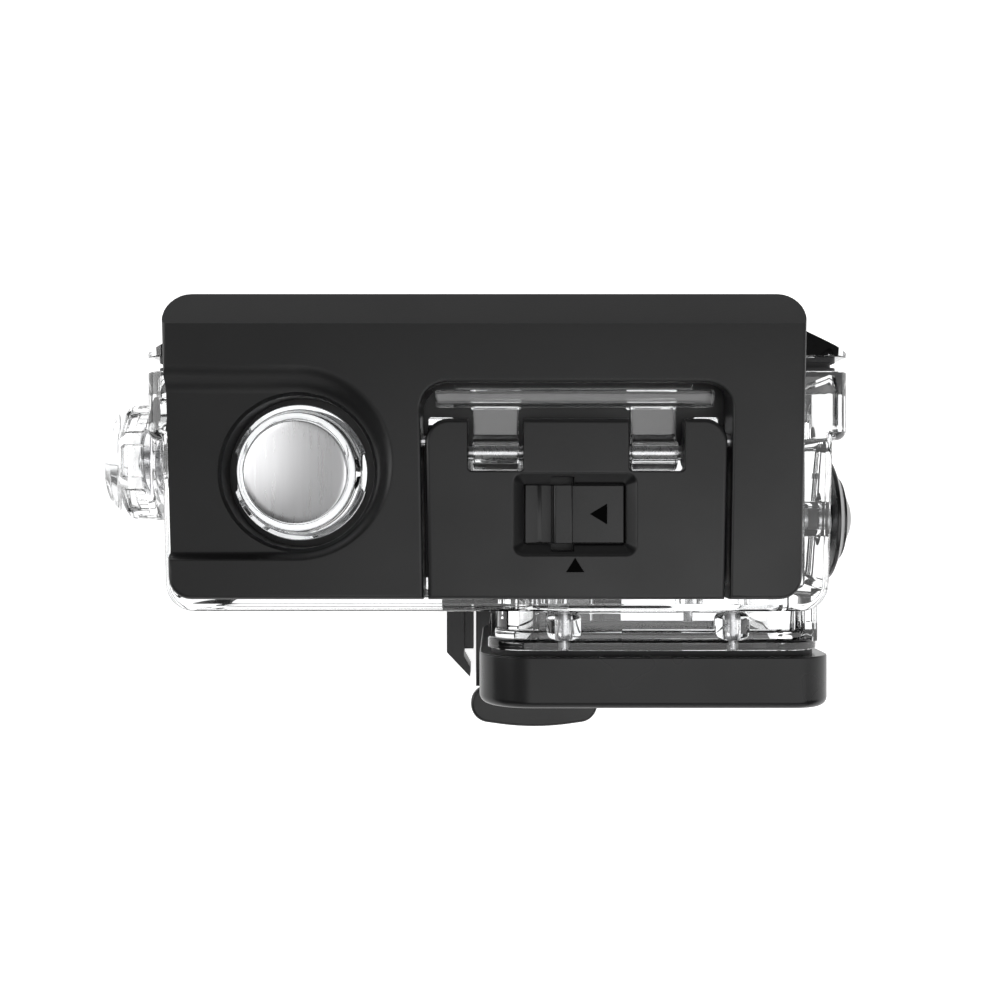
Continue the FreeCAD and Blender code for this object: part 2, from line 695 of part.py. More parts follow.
# --- lens port pieces ----------------------------------------------------------------------------
def lens_bezel():
    bezel = prism("XZ", square(port_x, port_z, bezel_half), bezel_front, bezel_rear,
                  [6.0, 4.5, 4.5, 6.0])
    bezel = round_edges(bezel, 1.0, lambda edge: flat_at(edge, "Y", bezel_front))
    aperture = prism("XZ", square(port_x, port_z, aperture_half), bezel_front - 1,
                     window_front + 1, 3.5)
    flare = Part.makeLoft([
        outline("XZ", square(port_x, port_z, aperture_half + 0.8), 4.3, bezel_front),
        outline("XZ", square(port_x, port_z, aperture_half), 3.5, bezel_front + 0.9),
    ], True, True)
    seat = prism("XZ", square(port_x, port_z, window_half + 0.1), window_front, bezel_rear + 1, 2.6)
    heads = port_bosses(1.35, bezel_front - 1, bezel_front + 1.5)
    shanks = port_bosses(bezel_screw_r, bezel_front, bezel_rear + 1)
    return bezel.cut([aperture, flare, seat] + heads + shanks).removeSplitter()


def lens_window():
    glass = prism("XZ", square(port_x, port_z, window_half), window_front, window_rear, 2.5)
    return glass.makeChamfer(0.3, [e for e in glass.Edges if flat_at(e, "Y", window_rear)])


def window_gasket():
    """Black seal: a flat sheet behind the bezel with a rib that presses on the glass."""
    hole = prism(
        "XZ",
        rectangle(port_x - tunnel_half_x, port_x + tunnel_half_x,
                  port_z - tunnel_half_z, port_z + tunnel_half_z),
        window_rear - 1, port_face + 1, 3.0)
    sheet = prism("XZ", square(port_x, port_z, 18.7), bezel_rear, port_face, 4.2)
    rib = prism("XZ", square(port_x, port_z, window_half), window_rear, bezel_rear + 0.1, 2.5)
    screw_holes = port_bosses(bezel_screw_r + 0.1, window_rear - 1, port_face + 1)
    return sheet.fuse(rib).cut([hole] + screw_holes)


def lens_light_shield():
    """Matte black ring in the port, with a lug on top, that keeps stray light off the lens."""
    plate = prism(
        "XZ",
        rectangle(port_x - tunnel_half_x + 0.1, port_x + tunnel_half_x - 0.1,
                  port_z - tunnel_half_z + 0.1, port_z + tunnel_half_z - 0.1),
        window_rear + 0.3, window_rear + 1.2, 2.9)
    sleeve = rod(V(port_x, window_rear + 0.3, port_z), V(port_x, shield_rear, port_z), shield_r)
    lug = block(port_x - 3.4, port_x + 3.4, window_rear + 0.5, shield_lug_rear,
                port_z + shield_r - 1.6, port_z + shield_r)
    bore = rod(V(port_x, window_rear - 1, port_z), V(port_x, -12, port_z), shield_r - shield_wall)
    return plate.fuse([sleeve, lug]).cut(bore).removeSplitter()


def bezel_screws():
    """Four small pan-head screws with a cross recess."""
    screws = []
    for side in (-1, 1):
        for level in (-1, 1):
            x = screw_mid_x + side * screw_offset_x
            z = port_z + level * screw_offset_z
            shank = rod(V(x, bezel_front + 1.0, z), V(x, body_front + 0.4, z), bezel_screw_r)
            head = rod(V(x, bezel_front + 0.4, z), V(x, bezel_front + 1.5, z), 1.3)
            recess = [
                block(x - 0.75, x + 0.75, bezel_front, bezel_front + 0.9, z - 0.18, z + 0.18),
                block(x - 0.18, x + 0.18, bezel_front, bezel_front + 0.9, z - 0.75, z + 0.75),
            ]
            screws.append(shank.fuse(head).cut(recess))
    return screws


# --- quick-release buckle ----------------------------------------------------------------------------
def buckle():
    left, right = mount_x - foot_half, mount_x + foot_half
    base_top = foot_z + 4.0
    base = prism("XY", rectangle(left, right, tongue_root, foot_rear), foot_z, base_top,
                 [0, 0, 3.0, 3.0])
    cheeks = []
    for side in (-1, 1):
        outer = mount_x + side * foot_half
        inner = mount_x + side * arm_inner
        tip = mount_x + side * 10.3
        cheeks.append(prism(
            "XY",
            [(outer, foot_rear - 4), (outer, foot_front + 4.0), (tip, foot_front),
             (tip, foot_front + 1.6), (inner, foot_front + 3.4), (inner, foot_rear - 4)],
            foot_z, foot_z + 7.0))
    pad = prism("XY", rectangle(mount_x - 9.2, mount_x + 9.2, -9.2, 9.2), foot_z + 2,
                mount_z - finger_r - 0.5, 1.0)
    ledges = []
    for side in (-1, 1):
        x0, x1 = sorted((mount_x + side * (tongue_half + 0.4), mount_x + side * (arm_inner + 0.5)))
        ledges.append(block(x0, x1, foot_front + 4.2, tongue_root + 1, foot_z, foot_z + 3.5))
    solid = base.fuse(cheeks + ledges + [pad])
    for side in (-1, 1):
        groove = block(mount_x + side * foot_half - 1.2, mount_x + side * foot_half + 1.2,
                       foot_front - 1, foot_rear + 1, foot_z + 2.2, foot_z + 4.6)
        solid = solid.cut(groove)
    pitch = finger + finger_gap
    for index in (-1, 0, 1):
        x0 = mount_x + index * pitch - finger / 2
        x1 = x0 + finger
        web = block(x0, x1, -finger_r, finger_r, mount_z - finger_r - 1, mount_z)
        tip = rod(V(x0, 0, mount_z), V(x1, 0, mount_z), finger_r)
        solid = solid.fuse(web.fuse(tip))
    nut_boss = rod(V(mount_x - 11.0, 0, mount_z), V(mount_x - pitch, 0, mount_z), 6.2)
    solid = solid.fuse(nut_boss)
    bolt_hole = rod(V(mount_x - 20, 0, mount_z), V(mount_x + 20, 0, mount_z), bolt_hole_r)
    return solid.cut([bolt_hole, nut_prism(mount_x - 12, mount_x - 7.9, 4.05)]).removeSplitter()


def nut_prism(x0, x1, half_flats):
    """Hexagonal bar on the thumb screw's axis."""
    corner = half_flats / math.cos(math.radians(30))
    points = []
    for k in range(6):
        angle = math.radians(60 * k)
        points.append((corner * math.sin(angle), mount_z + corner * math.cos(angle)))
    return prism("YZ", points, x0, x1)


def captive_nut():
    nut = nut_prism(mount_x - 10.9, mount_x - 7.9, 4.0)
    hole = rod(V(mount_x - 20, 0, mount_z), V(mount_x, 0, mount_z), bolt_r + 0.05)
    return nut.cut(hole)


def release_tongue():
    """Springy tongue of the buckle, which rises at the front to an oval thumb tab."""
    low = foot_z + 1.6
    thick = 1.5
    bend = -31.0
    strip = block(mount_x - tongue_half, mount_x + tongue_half, bend, tongue_root, low, low + thick)
    riser = prism(
        "YZ",
        [(bend + thick, low), (bend, low), (bend - 2.6, tab_top - 1.0),
         (bend - 2.6 + thick, tab_top - 1.0)],
        mount_x - 7.5, mount_x + 7.5)
    tab = prism(
        "XY",
        [(mount_x - 10.0, tab_front + 6.6), (mount_x - 10.0, tab_front + 1.2),
         (mount_x, tab_front - 0.2), (mount_x + 10.0, tab_front + 1.2),
         (mount_x + 10.0, tab_front + 6.6)],
        tab_top - 1.8, tab_top, [2.6, 2.9, 40, 2.9, 2.6])
    tab = round_edges(tab, 0.5, lambda edge: flat_at(edge, "Z", tab_top))
    return strip.fuse([riser, tab]).removeSplitter()


def thumb_bolt():
    """Steel bolt: threaded end in the nut, square root in the knob."""
    shank = rod(V(mount_x - 10.9, 0, mount_z), V(mount_x + 12.5, 0, mount_z), bolt_r)
    key = block(mount_x + 12.5, mount_x + 17.0, -2.0, 2.0, mount_z - 2.0, mount_z + 2.0)
    return shank.fuse(key).removeSplitter()


def thumb_knob():
    """Black knob with flutes for the fingers."""
    axis = mount_z
    hub = rod(V(mount_x + 8.0, 0, axis), V(mount_x + 11.0, 0, axis), 5.0)
    grip = rod(V(mount_x + 10.5, 0, axis), V(mount_x + 20.5, 0, axis), 7.4)
    grip = grip.makeFillet(1.2, [e for e in grip.Edges if flat_at(e, "X", mount_x + 20.5)])
    flutes = []
    for k in range(8):
        angle = math.radians(45 * k)
        y, z = 8.6 * math.cos(angle), axis + 8.6 * math.sin(angle)
        flutes.append(rod(V(mount_x + 12.0, y, z), V(mount_x + 24, y, z), 2.2))
    bore = rod(V(mount_x + 7, 0, axis), V(mount_x + 12.5, 0, axis), bolt_r)
    key = block(mount_x + 12.5, mount_x + 17.0, -2.0, 2.0, axis - 2.0, axis + 2.0)
    return hub.fuse(grip).cut(flutes + [bore, key]).removeSplitter()


# --- write the nodes ------------------------------------------------------------------------------------
os.makedirs("parts", exist_ok=True)
save("front_shell", front_shell())
save("back_door", back_door())
save("door_gasket", door_gasket())
save("door_hinge_pin", door_hinge_pin())
save("top_cover", top_cover())
save("latch_lever", latch_lever())
save("lever_pivot_pins", *lever_pivot_pins())
save("hook_pin", hook_pin())
save("hook_link", hook_link())
save("lock_slider", lock_slider())
save("lock_tongue", lock_tongue())
save("lens_bezel", lens_bezel())
save("lens_window", lens_window())
save("window_gasket", window_gasket())
save("lens_light_shield", lens_light_shield())
save("bezel_screws", *bezel_screws())
save_buttons()
save("buckle", buckle())
save("captive_nut", captive_nut())
save("release_tongue", release_tongue())
save("thumb_bolt", thumb_bolt())
save("thumb_knob", thumb_knob())
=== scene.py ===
import math

import bmesh
import bpy
from mathutils import Matrix, Vector


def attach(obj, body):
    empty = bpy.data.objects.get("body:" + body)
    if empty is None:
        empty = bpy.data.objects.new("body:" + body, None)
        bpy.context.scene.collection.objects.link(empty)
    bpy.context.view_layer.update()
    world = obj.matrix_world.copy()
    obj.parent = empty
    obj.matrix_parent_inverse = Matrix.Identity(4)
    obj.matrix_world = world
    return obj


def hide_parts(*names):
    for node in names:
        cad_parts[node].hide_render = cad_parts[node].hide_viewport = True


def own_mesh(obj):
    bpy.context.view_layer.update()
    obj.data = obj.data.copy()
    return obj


# Looks of the waterproof camera housing. Shapes are worked out in millimetres in the
# design frame: X across the lens side, Y = 0 on the thumb screw's axis with the lens
# towards -Y, Z = 0 on the underside of the clear body. place() moves a finished mesh
# to the part's frame, in metres.

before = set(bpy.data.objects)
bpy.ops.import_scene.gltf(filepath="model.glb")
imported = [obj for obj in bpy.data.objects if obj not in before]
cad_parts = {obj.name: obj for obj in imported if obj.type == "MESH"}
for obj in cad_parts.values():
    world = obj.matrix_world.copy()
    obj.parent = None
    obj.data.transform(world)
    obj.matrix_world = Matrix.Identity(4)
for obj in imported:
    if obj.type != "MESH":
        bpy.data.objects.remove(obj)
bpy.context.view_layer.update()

scene = bpy.context.scene
ORIGIN = Vector((5.4, -8.45, -25.5))
MM = 0.001

PLACE = {
    "XY": lambda u, v, level: (u, v, level),
    "XZ": lambda u, v, level: (u, level, v),
    "YZ": lambda u, v, level: (level, u, v),
}


# --- solids in mesh code --------------------------------------------------------------
def solid(verts, faces):
    mesh = bpy.data.meshes.new("solid")
    mesh.from_pydata([tuple(v) for v in verts], [], faces)
    bm = bmesh.new()
    bm.from_mesh(mesh)
    bmesh.ops.remove_doubles(bm, verts=bm.verts, dist=1e-5)
    bmesh.ops.recalc_face_normals(bm, faces=bm.faces)
    bm.to_mesh(mesh)
    bm.free()
    obj = bpy.data.objects.new("solid", mesh)
    scene.collection.objects.link(obj)
    return obj


def offset(points, d):
    """Convex polygon with every side moved outwards by d."""
    area = sum(a[0] * b[1] - b[0] * a[1] for a, b in zip(points, points[1:] + points[:1]))
    turn = 1 if area > 0 else -1
    lines = []
    for a, b in zip(points, points[1:] + points[:1]):
        ux, uy = b[0] - a[0], b[1] - a[1]
        size = math.hypot(ux, uy)
        nx, ny = turn * uy / size, -turn * ux / size
        lines.append((a[0] + nx * d, a[1] + ny * d, ux, uy))
    moved = []
    for i, (x2, y2, u2, v2) in enumerate(lines):
        x1, y1, u1, v1 = lines[i - 1]
        cross = u1 * v2 - v1 * u2
        t = ((x2 - x1) * v2 - (y2 - y1) * u2) / cross
        moved.append((x1 + u1 * t, y1 + v1 * t))
    return moved


def rounded(points, radii, steps=7):
    """Polygon with its corners rounded; a corner of radius 0 stays sharp."""
    found = []
    count = len(points)
    for i, p in enumerate(points):
        r = radii[i]
        if r <= 0:
            found.append(tuple(p))
            continue
        p = Vector(p)
        back = (Vector(points[i - 1]) - p).normalized()
        ahead = (Vector(points[(i + 1) % count]) - p).normalized()
        half = back.angle(ahead) / 2
        start = p + back * (r / math.tan(half))
        centre = p + (back + ahead).normalized() * (r / math.sin(half))
        sweep = math.pi - 2 * half
        spin = 1 if back.x * ahead.y - back.y * ahead.x < 0 else -1
        arm = start - centre
        for k in range(steps + 1):
            a = spin * sweep * k / steps
            found.append((centre.x + arm.x * math.cos(a) - arm.y * math.sin(a),
                          centre.y + arm.x * math.sin(a) + arm.y * math.cos(a)))
    return found


def loft(loops):
    """Closed solid through loops of equally many points."""
    count = len(loops[0])
    verts = [v for loop in loops for v in loop]
    faces = [list(range(count))[::-1], [len(verts) - count + k for k in range(count)]]
    for level in range(len(loops) - 1):
        base = level * count
        for k in range(count):
            nxt = (k + 1) % count
            faces.append([base + k, base + nxt, base + count + nxt, base + count + k])
    return solid(verts, faces)


def slab(plane, points, low, high, radii=0.0, soft=(0.0, 0.0), steps=7, bends=4):
    """Prism with rounded corners and rounded rims. A negative rim flares outwards,
    so that a cutter leaves a rounded edge."""
    radii = radii if isinstance(radii, (list, tuple)) else [radii] * len(points)
    rims = []
    for end, direction, s in ((low, 1, soft[0]), (high, -1, soft[1])):
        if s == 0:
            rims.append([(0.0, end)])
            continue
        rim = []
        for k in range(bends + 1):
            a = math.pi / 2 * k / bends
            rim.append((-s * (1 - math.sin(a)), end + direction * abs(s) * (1 - math.cos(a))))
        rims.append(rim)
    loops = []
    for d, level in rims[0] + rims[1][::-1]:
        grown = offset(points, d) if d else points
        bent = [max(r + d, 0.02) if r > 0 else 0 for r in radii]
        loops.append([PLACE[plane](u, v, level) for u, v in rounded(grown, bent, steps)])
    return loft(loops)


def rectangle(u0, u1, v0, v1):
    return [(u0, v0), (u1, v0), (u1, v1), (u0, v1)]


def square(u, v, half):
    return rectangle(u - half, u + half, v - half, v + half)


def block(x0, x1, y0, y1, z0, z1, r=0.0, soft=(0.0, 0.0)):
    return slab("XY", rectangle(x0, x1, y0, y1), z0, z1, r, soft, steps=4)


def turned(profile, radii=0.0, steps=72, bends=4):
    """Solid turned about local Z from (radius, height) points, with rounded corners."""
    radii = radii if isinstance(radii, (list, tuple)) else [
        0.0 if p[0] < 1e-6 else radii for p in profile]
    outline = rounded(profile, radii, bends)
    count = len(outline)
    verts, faces = [], []
    for k in range(steps):
        a = 2 * math.pi * k / steps
        verts += [(r * math.cos(a), r * math.sin(a), h) for r, h in outline]
    for k in range(steps):
        one, two = k * count, (k + 1) % steps * count
        for i in range(count):
            j = (i + 1) % count
            if outline[i][0] < 1e-6 and outline[j][0] < 1e-6:
                continue
            if outline[i][0] < 1e-6:
                faces.append([one + i, two + j, one + j])
            elif outline[j][0] < 1e-6:
                faces.append([one + i, two + i, one + j])
            else:
                faces.append([one + i, two + i, two + j, one + j])
    return solid(verts, faces)


def moved(obj, matrix):
    obj.data.transform(matrix)
    if matrix.determinant() < 0:
        obj.data.flip_normals()
    return obj


def along(obj, start, direction):
    """Turn an object from local Z to a direction, from a start point."""
    turn = Vector((0, 0, 1)).rotation_difference(Vector(direction)).to_matrix().to_4x4()
    return moved(obj, Matrix.Translation(start) @ turn)


def rod(start, end, radius, soft=0.0, steps=48):
    span = Vector(end) - Vector(start)
    shape = turned([(0, 0), (radius, 0), (radius, span.length), (0, span.length)],
                   soft, steps)
    return along(shape, start, span)


def combine(base, tools, operation):
    tools = tools if isinstance(tools, (list, tuple)) else [tools]
    group = bpy.data.collections.new("tools")
    for tool in tools:
        group.objects.link(tool)
    boolean = base.modifiers.new("boolean", "BOOLEAN")
    boolean.operation = operation
    boolean.solver = "EXACT"
    boolean.operand_type = "COLLECTION"
    boolean.collection = group
    bpy.context.view_layer.update()
    depsgraph = bpy.context.evaluated_depsgraph_get()
    mesh = bpy.data.meshes.new_from_object(base.evaluated_get(depsgraph))
    base.modifiers.clear()
    base.data = mesh
    for tool in tools:
        bpy.data.objects.remove(tool)
    bpy.data.collections.remove(group)
    return base


def cut(base, *tools):
    return combine(base, list(tools), "DIFFERENCE")


def fuse(base, *tools):
    return combine(base, list(tools), "UNION")


def place(obj, name, body, material, slot, *nodes, smooth=38):
    """Finish a piece: part frame in metres, shading, material, body and CAD nodes."""
    obj.name = name
    obj.data.name = name
    bm = bmesh.new()
    bm.from_mesh(obj.data)
    bmesh.ops.remove_doubles(bm, verts=bm.verts, dist=2e-4)
    bmesh.ops.dissolve_degenerate(bm, edges=bm.edges, dist=1e-4)
    bm.to_mesh(obj.data)
    bm.free()
    obj.data.transform(Matrix.Scale(MM, 4) @ Matrix.Translation(-ORIGIN))
    obj.data.shade_smooth()
    obj.data.set_sharp_from_angle(angle=math.radians(smooth))
    obj.data.materials.clear()
    obj.data.materials.append(material)
    normals = obj.modifiers.new("normals", "WEIGHTED_NORMAL")
    normals.keep_sharp = True
    normals.weight = 60
    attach(obj, body)
    if nodes:
        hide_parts(*nodes)
    return obj


# --- materials ------------------------------------------------------------------------
def nodes_of(name):
    material = bpy.data.materials.new(name)
    material.use_nodes = True
    tree = material.node_tree
    return material, tree, tree.nodes["Principled BSDF"]


def noise(tree, scale, detail=3.0, rough=0.55):
    coords = tree.nodes.new("ShaderNodeTexCoord")
    texture = tree.nodes.new("ShaderNodeTexNoise")
    texture.inputs["Scale"].default_value = scale
    texture.inputs["Detail"].default_value = detail
    texture.inputs["Roughness"].default_value = rough
    tree.links.new(coords.outputs["Object"], texture.inputs["Vector"])
    return texture


def ramp(tree, factor, low, high, start=0.35, end=0.65):
    node = tree.nodes.new("ShaderNodeMapRange")
    node.inputs["From Min"].default_value = start
    node.inputs["From Max"].default_value = end
    node.inputs["To Min"].default_value = low
    node.inputs["To Max"].default_value = high
    tree.links.new(factor, node.inputs["Value"])
    return node.outputs["Result"]


def tint(tree, factor, one, two):
    node = tree.nodes.new("ShaderNodeMix")
    node.data_type = "RGBA"
    node.inputs[6].default_value = (*one, 1)
    node.inputs[7].default_value = (*two, 1)
    tree.links.new(factor, node.inputs[0])
    return node.outputs[2]


def bump(tree, shader, height, strength, distance):
    node = tree.nodes.new("ShaderNodeBump")
    node.inputs["Strength"].default_value = strength
    node.inputs["Distance"].default_value = distance
    tree.links.new(height, node.inputs["Height"])
    tree.links.new(node.outputs["Normal"], shader.inputs["Normal"])


def plastic(name, dark, light, rough, grain, depth, specular=0.5):
    """Moulded opaque plastic: fine grain, soft mottling and uneven gloss."""
    material, tree, shader = nodes_of(name)
    cloud = noise(tree, 90, 2.0)
    fine = noise(tree, grain, 2.0, 0.6)
    tree.links.new(tint(tree, cloud.outputs["Fac"], dark, light), shader.inputs["Base Color"])
    tree.links.new(ramp(tree, cloud.outputs["Fac"], rough[0], rough[1]),
                   shader.inputs["Roughness"])
    bump(tree, shader, fine.outputs["Fac"], 0.35, depth)
    shader.inputs["Specular IOR Level"].default_value = specular
    return material


def metal(name, dark, light, rough, stretch, depth):
    """Metal with fine lines along one direction."""
    material, tree, shader = nodes_of(name)
    coords = tree.nodes.new("ShaderNodeTexCoord")
    mapping = tree.nodes.new("ShaderNodeMapping")
    mapping.inputs["Scale"].default_value = stretch
    texture = tree.nodes.new("ShaderNodeTexNoise")
    texture.inputs["Scale"].default_value = 1.0
    texture.inputs["Detail"].default_value = 3.0
    tree.links.new(coords.outputs["Object"], mapping.inputs["Vector"])
    tree.links.new(mapping.outputs["Vector"], texture.inputs["Vector"])
    tree.links.new(tint(tree, texture.outputs["Fac"], dark, light), shader.inputs["Base Color"])
    tree.links.new(ramp(tree, texture.outputs["Fac"], rough[0], rough[1]),
                   shader.inputs["Roughness"])
    bump(tree, shader, texture.outputs["Fac"], 0.2, depth)
    shader.inputs["Metallic"].default_value = 1.0
    return material


def clear(name, colour, rough, ior=1.58):
    """Clear moulded plastic: faint flow ripples, and lamps shine through it."""
    material, tree, shader = nodes_of(name)
    ripple = noise(tree, 260, 1.0)
    cloud = noise(tree, 60, 1.0)
    tree.links.new(tint(tree, cloud.outputs["Fac"], colour, (1, 1, 1)),
                   shader.inputs["Base Color"])
    tree.links.new(ramp(tree, ripple.outputs["Fac"], rough[0], rough[1]),
                   shader.inputs["Roughness"])
    bump(tree, shader, cloud.outputs["Fac"], 0.06, 0.0004)
    shader.inputs["Transmission Weight"].default_value = 1.0
    shader.inputs["IOR"].default_value = ior
    path = tree.nodes.new("ShaderNodeLightPath")
    through = tree.nodes.new("ShaderNodeBsdfTransparent")
    mix = tree.nodes.new("ShaderNodeMixShader")
    output = tree.nodes["Material Output"]
    tree.links.new(path.outputs["Is Shadow Ray"], mix.inputs[0])
    tree.links.new(shader.outputs["BSDF"], mix.inputs[1])
    tree.links.new(through.outputs["BSDF"], mix.inputs[2])
    tree.links.new(mix.outputs["Shader"], output.inputs["Surface"])
    return material


cover_black = plastic("cover_black", (0.0060, 0.0060, 0.0064), (0.0080, 0.0080, 0.0084),
                      (0.36, 0.42), 5200, 0.00002)
slide_black = plastic("slide_black", (0.008, 0.008, 0.0084), (0.011, 0.011, 0.0114),
                      (0.34, 0.42), 5200, 0.00002)
bezel_black = plastic("bezel_black", (0.008, 0.008, 0.0084), (0.011, 0.011, 0.0114),
                      (0.26, 0.33), 4200, 0.00001, 0.32)
buckle_black = plastic("buckle_black", (0.006, 0.006, 0.0064), (0.009, 0.009, 0.0094),
                       (0.34, 0.42), 4600, 0.00002)
button_black = plastic("button_black", (0.007, 0.007, 0.0074), (0.010, 0.010, 0.0104),
                       (0.22, 0.30), 3000, 0.00001)
shield_black = plastic("shield_black", (0.006, 0.006, 0.006), (0.009, 0.009, 0.009),
                       (0.70, 0.85), 3200, 0.00004, 0.3)
mark_black = plastic("mark_black", (0.001, 0.001, 0.001), (0.002, 0.002, 0.002),
                     (0.80, 0.90), 3000, 0.00001, 0.05)
seal_rubber = plastic("seal_rubber", (0.020, 0.020, 0.021), (0.030, 0.030, 0.031),
                      (0.55, 0.68), 2600, 0.00003, 0.35)
button_metal = metal("button_metal", (0.80, 0.80, 0.81), (0.86, 0.86, 0.87),
                     (0.27, 0.31), (2600, 60, 2600), 0.0000005)
steel = metal("steel", (0.50, 0.50, 0.51), (0.64, 0.64, 0.65), (0.24, 0.34),
              (1800, 1800, 300), 0.000006)
spring_steel = metal("spring_steel", (0.56, 0.56, 0.57), (0.70, 0.70, 0.71), (0.20, 0.30),
                     (900, 900, 900), 0.000006)
clear_body = clear("clear_body", (0.975, 0.985, 0.990), (0.0, 0.012))
clear_small = clear("clear_small", (0.980, 0.985, 0.990), (0.0, 0.010))
window_glass = clear("window_glass", (0.970, 0.985, 0.990), (0.0, 0.006), 1.52)


# --- black top cover ------------------------------------------------------------------
COVER_TOP = 54.0
SHELL_TOP = 47.5
LATCH_X = 8.15
ARMS = (-8.6, 8.6)
LEVER_PIN = (6.4, 52.1)
HOOK_PIN = (5.2, 50.2)
HINGE = (15.2, -4.4)
BOLT_Z = -10.5
FOOT_Z = -25.5
SHUTTER = (-21.8, 3.0)


def stadium(x, y, r, level, steps=40):
    """Loop of a stadium that runs out past the cover's left side."""
    left = -44.0
    loop = [(left, y - r, level)]
    for k in range(steps + 1):
        a = -math.pi / 2 + math.pi * k / steps
        loop.append((x + r * math.cos(a), y + r * math.sin(a), level))
    return loop + [(left, y + r, level)]


def recess_cutter():
    """Shallow recess round the shutter button, with soft sloping walls."""
    loops = []
    bends = 8
    for k in range(bends + 1):
        t = k / bends
        rise = t * t * (3 - 2 * t)
        loops.append(stadium(SHUTTER[0], 2.95 + 1.05 * t, 8.5 + 2.0 * t,
                             COVER_TOP - 1.5 + 1.5 * rise))
    loops.append(stadium(SHUTTER[0], 4.0, 10.5, COVER_TOP + 1))
    return loft(loops)


def latch_plan(gap, back, front=-10.6):
    return [(LATCH_X - 15.8 - gap, front), (LATCH_X + 15.8 + gap, front),
            (LATCH_X + 16.2 + gap, back), (LATCH_X - 16.2 - gap, back)]


def latch_tray():
    """Thin floor of the latch opening, with windows under the comb and at the corners."""
    tray = block(LATCH_X - 17.2, LATCH_X + 17.2, -8.6, 14.0, SHELL_TOP, SHELL_TOP + 0.5)
    tools = [block(LATCH_X - 14.6, LATCH_X + 14.6, -10, 4.4, 46, 50)]
    for arm in ARMS:
        mid = LATCH_X + arm
        tools.append(block(mid - 2.8, mid + 2.8, 10.0, 11.2, 46, 50, 0.3))
        corner = LATCH_X + math.copysign(14.7, arm)
        tools.append(block(corner - 1.4, corner + 1.4, 6.4, 9.2, 46, 50, 0.3))
    return cut(tray, *tools)


def top_cover():
    plan = [(-35.3, -10.6), (32.2, -10.6), (32.8, 22.4), (-36.2, 22.4)]
    cover = slab("XY", plan, SHELL_TOP, COVER_TOP, [2.4, 2.4, 2.6, 2.6], (0.0, 0.55))
    slope = slab("YZ", [(18.8, 54.0), (22.4, 51.0), (26.0, 51.0), (26.0, 56.0), (18.8, 56.0)],
                 -40, 40)
    rooms = [
        slab("XY", rectangle(-34.2, -10.6, -9.0, 17.6), 46.5, 50.8, 1.5),
        slab("XY", rectangle(-7.4, 30.9, -9.0, 17.6), 46.5, 52.2, 1.5),
        slab("YZ", [(12.0, 46.5), (20.6, 46.5), (20.6, 50.6), (18.2, 52.2), (12.0, 52.2)],
             -34.1, 30.8),
    ]
    cover = cut(cover, slope, *rooms)
    ribs = []
    for side in (-1, 1):
        inner = LATCH_X + side * 16.7
        outer = inner + side * 2.2
        ribs.append(block(min(inner, outer), max(inner, outer), -10.4, 12.0, SHELL_TOP, 52.7))
    skirt = rod((*SHUTTER, SHELL_TOP), (*SHUTTER, 51.4), 9.45, 0.0, 96)
    cover = fuse(cover, skirt, *ribs)
    opening = slab("XY", latch_plan(0.5, 12.6, -13.0), 46, COVER_TOP, [0, 0, 2.9, 2.9],
                   (0.0, -0.35))
    above = slab("XY", latch_plan(0.85, 12.95, -13.4), COVER_TOP - 0.01, COVER_TOP + 1,
                 [0, 0, 3.2, 3.2])
    hole = along(turned([(0, -7), (7.0, -7), (7.0, -6.3), (8.25, -6.3), (8.25, -1.9),
                         (8.65, -1.45), (8.65, 1), (0, 1)], [0, 0, 0, 0, 0.3, 0.2, 0, 0]),
                 (SHUTTER[0], SHUTTER[1], COVER_TOP), (0, 0, 1))
    door_room = block(-50, 50, 14.0, 40, 46.5, 48.0)
    tray = latch_tray()
    pins = rod((LATCH_X - 18.9, *LEVER_PIN), (LATCH_X + 18.9, *LEVER_PIN), 0.7)
    cover = cut(cover, opening, above, recess_cutter(), hole, door_room, pins)
    cover = fuse(cover, tray)
    return place(cover, "top_cover_shell", "housing", cover_black, "cover_black", "top_cover")


top_cover()


# --- latch ----------------------------------------------------------------------------
LOCK = (2.65, 13.3, -4.65, 1.65)
TRIANGLE_FLAP = [(7.0, -7.7), (9.0, -7.7), (8.0, -6.1)]
TRIANGLE_SLIDE = [(9.6, -1.5), (11.5, -2.65), (11.5, -0.35)]


